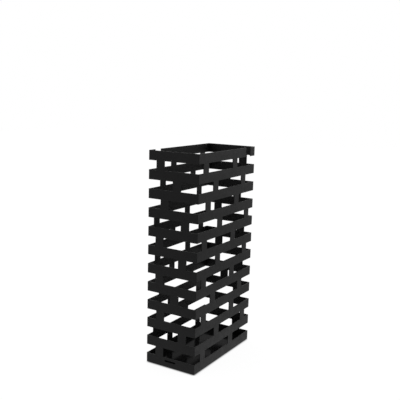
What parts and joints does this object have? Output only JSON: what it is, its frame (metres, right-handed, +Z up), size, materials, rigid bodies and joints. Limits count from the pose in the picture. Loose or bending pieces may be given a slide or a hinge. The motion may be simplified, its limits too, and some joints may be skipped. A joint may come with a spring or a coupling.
{
  "type": "umbrella stand",
  "caption": "Free-standing rectangular umbrella stand: welded steel bands and staggered spacers, strap slots in the rim, base plate, foot pads and a lift-out drip tray.",
  "frame": {"origin": "middle of the footprint, on the floor that the foot pads stand on", "axes": "+X along the long side, +Y from the front long side to the rear one, +Z up"},
  "size_m": [0.3, 0.152, 0.5775],
  "materials": {
    "black_powder_coat": "satin black powder coat on steel strip, fine even texture",
    "tray_plastic": "smooth black moulded plastic, satin gloss",
    "pad_rubber": "matte black"
  },
  "bodies": {
    "frame": {"top_band_front": "black_powder_coat", "top_band_rear": "black_powder_coat", "band_02": "black_powder_coat", "band_03": "black_powder_coat", "band_04": "black_powder_coat", "band_05": "black_powder_coat", "band_06": "black_powder_coat", "band_07": "black_powder_coat", "band_08": "black_powder_coat", "band_09": "black_powder_coat", "band_10": "black_powder_coat", "band_11": "black_powder_coat", "bottom_band": "black_powder_coat", "spacers_01": "black_powder_coat", "spacers_02": "black_powder_coat", "spacers_03": "black_powder_coat", "spacers_04": "black_powder_coat", "spacers_05": "black_powder_coat", "spacers_06": "black_powder_coat", "spacers_07": "black_powder_coat", "spacers_08": "black_powder_coat", "spacers_09": "black_powder_coat", "spacers_10": "black_powder_coat", "spacers_11": "black_powder_coat", "base_plate": "black_powder_coat", "foot_pads": "pad_rubber"},
    "tray": {"drip_tray": "tray_plastic"}
  },
  "joints": [
    {"name": "tray_lift", "type": "slide", "parent": "frame", "child": "tray", "axis": [0, 0, 1], "range_m": [0, 0.6]}
  ]
}
